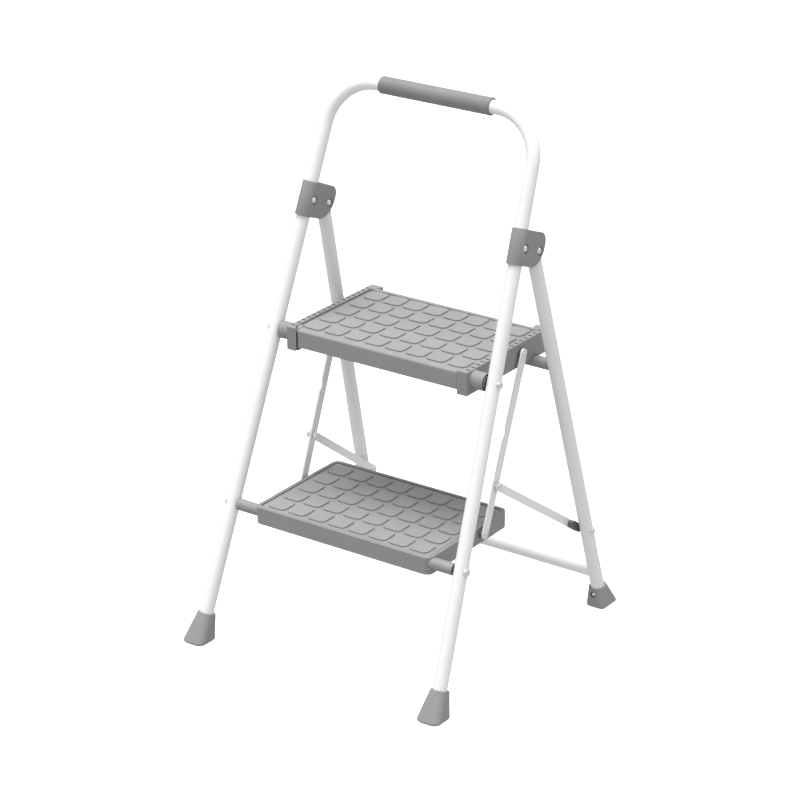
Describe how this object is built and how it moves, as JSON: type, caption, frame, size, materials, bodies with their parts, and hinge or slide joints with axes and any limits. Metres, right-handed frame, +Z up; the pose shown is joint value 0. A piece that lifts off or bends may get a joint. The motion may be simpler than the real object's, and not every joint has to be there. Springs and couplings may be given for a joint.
{
  "type": "step stool",
  "caption": "Folding step stool with two moulded treads, splayed white tube frame and a hoop handle with a grip.",
  "frame": {"origin": "on the floor, at the centre of the open stool's outline", "axes": "+X across the stool, +Y to its back, +Z up"},
  "size_m": [0.495, 0.521, 0.8651],
  "materials": {
    "white_paint": "gloss white powder coat",
    "grey_paint": "satin grey paint",
    "tread_plastic": "fine-grained moulded grey",
    "grey_plastic": "satin moulded grey",
    "grip_foam": "matt foam sleeve",
    "dark_plastic": "dark nylon",
    "bright_steel": "bright nickel plate"
  },
  "bodies": {
    "front_frame": {"front_frame_tube": "white_paint", "hand_grip": "grip_foam", "hinge_bracket_right": "grey_plastic", "hinge_bracket_left": "grey_plastic", "bracket_rivets": "bright_steel", "hinge_pins": "bright_steel", "front_foot_right": "grey_plastic", "front_foot_left": "grey_plastic", "upper_pivot_rod": "bright_steel", "lower_pivot_rod": "bright_steel"},
    "rear_frame": {"rear_leg_right": "white_paint", "rear_leg_left": "white_paint", "lower_cross_tube": "white_paint", "upper_rest_bar": "grey_paint", "rear_foot_right": "grey_plastic", "rear_foot_left": "grey_plastic", "rear_foot_screws": "bright_steel", "strap_leg_rivets": "bright_steel"},
    "upper_tread": {"upper_tread_panel": "tread_plastic", "upper_end_cap_right": "grey_plastic", "upper_end_cap_left": "grey_plastic", "upper_pivot_tube": "grey_paint", "upper_tube_bushes": "dark_plastic", "link_top_rivets": "bright_steel", "link_top_washers": "dark_plastic"},
    "lower_tread": {"lower_tread_panel": "tread_plastic", "lower_pivot_tube": "grey_paint", "lower_tube_bushes": "dark_plastic", "link_bottom_rivets": "bright_steel", "link_bottom_washers": "dark_plastic"},
    "link_right": {"link_bar_right": "white_paint", "link_mid_rivet_right": "bright_steel", "link_mid_washer_right": "bright_steel"},
    "strap_right": {"strap_bar_right": "white_paint", "strap_spacer_right": "dark_plastic", "strap_end_rivet_right": "bright_steel"},
    "link_left": {"link_bar_left": "white_paint", "link_mid_rivet_left": "bright_steel", "link_mid_washer_left": "bright_steel"},
    "strap_left": {"strap_bar_left": "white_paint", "strap_spacer_left": "dark_plastic", "strap_end_rivet_left": "bright_steel"}
  },
  "joints": [
    {"name": "upper_tread_fold", "type": "hinge", "parent": "front_frame", "child": "upper_tread", "pos_m": [0, -0.05168, 0.47503], "axis": [1, 0, 0], "range_deg": [0, 60]},
    {"name": "lower_tread_fold", "type": "hinge", "parent": "front_frame", "child": "lower_tread", "pos_m": [0, -0.15404, 0.20905], "axis": [1, 0, 0], "range_deg": [0, 60.01]},
    {"name": "rear_frame_fold", "type": "hinge", "parent": "front_frame", "child": "rear_frame", "pos_m": [0, 0.062, 0.6536], "axis": [1, 0, 0], "range_deg": [-36.12, 0]},
    {"name": "link_pivot_right", "type": "hinge", "parent": "upper_tread", "child": "link_right", "pos_m": [0, 0.07682, 0.47543], "axis": [1, 0, 0], "range_deg": [-60.01, 0]},
    {"name": "strap_pivot_right", "type": "hinge", "parent": "link_right", "child": "strap_right", "pos_m": [0, 0.00211, 0.28131], "axis": [1, 0, 0], "range_deg": [-70.2, 0]},
    {"name": "link_pivot_left", "type": "hinge", "parent": "upper_tread", "child": "link_left", "pos_m": [0, 0.07682, 0.47543], "axis": [1, 0, 0], "range_deg": [-60.01, 0]},
    {"name": "strap_pivot_left", "type": "hinge", "parent": "link_left", "child": "strap_left", "pos_m": [0, 0.00211, 0.28131], "axis": [1, 0, 0], "range_deg": [-70.2, 0]}
  ],
  "couplings": [
    {"joint": "lower_tread_fold", "follows": "upper_tread_fold", "ratio": 1},
    {"joint": "rear_frame_fold", "follows": "upper_tread_fold", "ratio": -0.60188},
    {"joint": "link_pivot_right", "follows": "upper_tread_fold", "ratio": -1},
    {"joint": "strap_pivot_right", "follows": "upper_tread_fold", "ratio": -1.17},
    {"joint": "link_pivot_left", "follows": "upper_tread_fold", "ratio": -1},
    {"joint": "strap_pivot_left", "follows": "upper_tread_fold", "ratio": -1.17}
  ]
}
